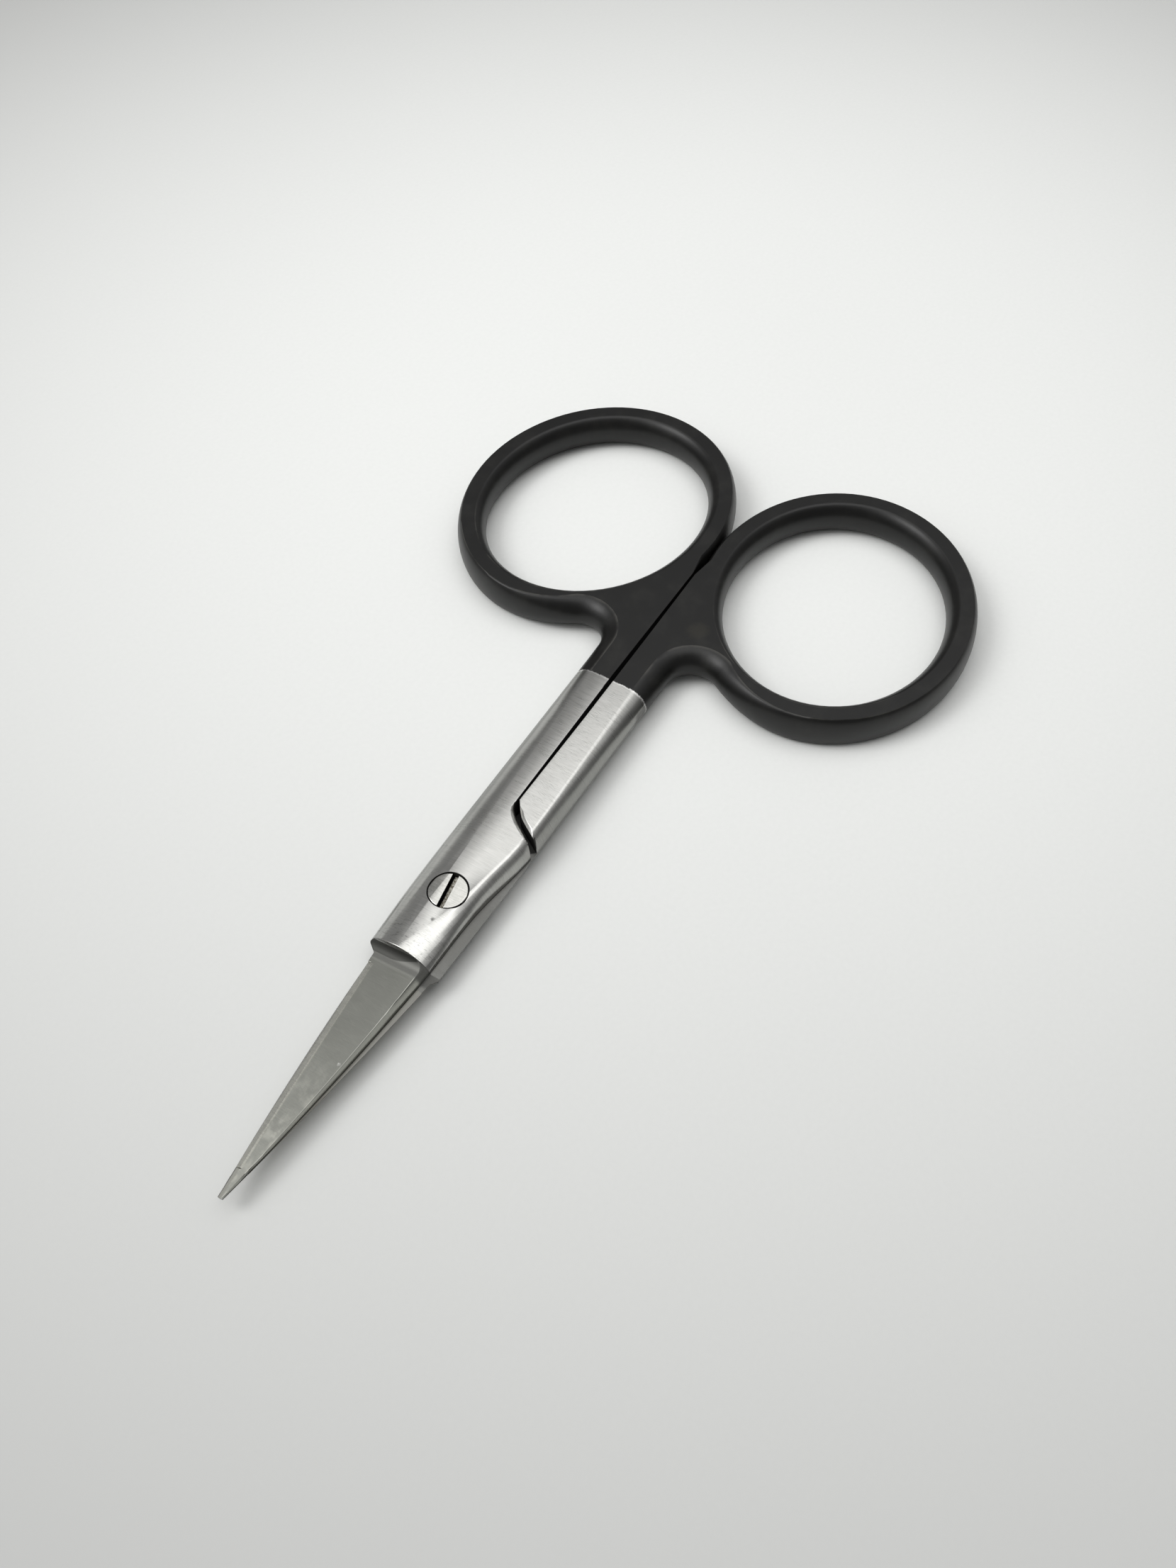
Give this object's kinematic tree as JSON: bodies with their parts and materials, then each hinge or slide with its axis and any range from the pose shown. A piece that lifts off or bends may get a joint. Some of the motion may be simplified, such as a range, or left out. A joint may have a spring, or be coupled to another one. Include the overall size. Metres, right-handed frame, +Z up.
{
  "type": "fine-point scissors",
  "caption": "Small fine-point scissors: two forged steel halves lapped on a slotted pivot screw, with carbide cutting edges and black coated finger loops.",
  "frame": {"origin": "centre of the closed scissors' outline, on the surface that they lie on", "axes": "+X from the tip towards the finger loops, +Y towards the upper half's loop, +Z up through the pivot screw's head"},
  "size_m": [0.1, 0.059, 0.004],
  "materials": {
    "brushed_steel": "fine satin brushing across the length, black satin coating on the loops and necks",
    "black_coat": "satin black coating",
    "carbide": "fine ground, slightly warm grey",
    "polished_screw": "polished"
  },
  "bodies": {
    "lower": {"lower_half": "brushed_steel", "lower_carbide_insert": "carbide"},
    "upper": {"upper_half": "brushed_steel", "upper_carbide_insert": "carbide"},
    "screw": {"pivot_screw": "polished_screw"}
  },
  "joints": [
    {"name": "blade_pivot", "type": "hinge", "parent": "lower", "child": "upper", "pos_m": [-0.01778, 0, 0.002], "axis": [0, 0, 1], "range_deg": [0, 135]},
    {"name": "tension_screw", "type": "hinge", "parent": "lower", "child": "screw", "pos_m": [-0.01778, 0, 0.002], "axis": [0, 0, 1], "range_deg": [-90, 90]}
  ]
}
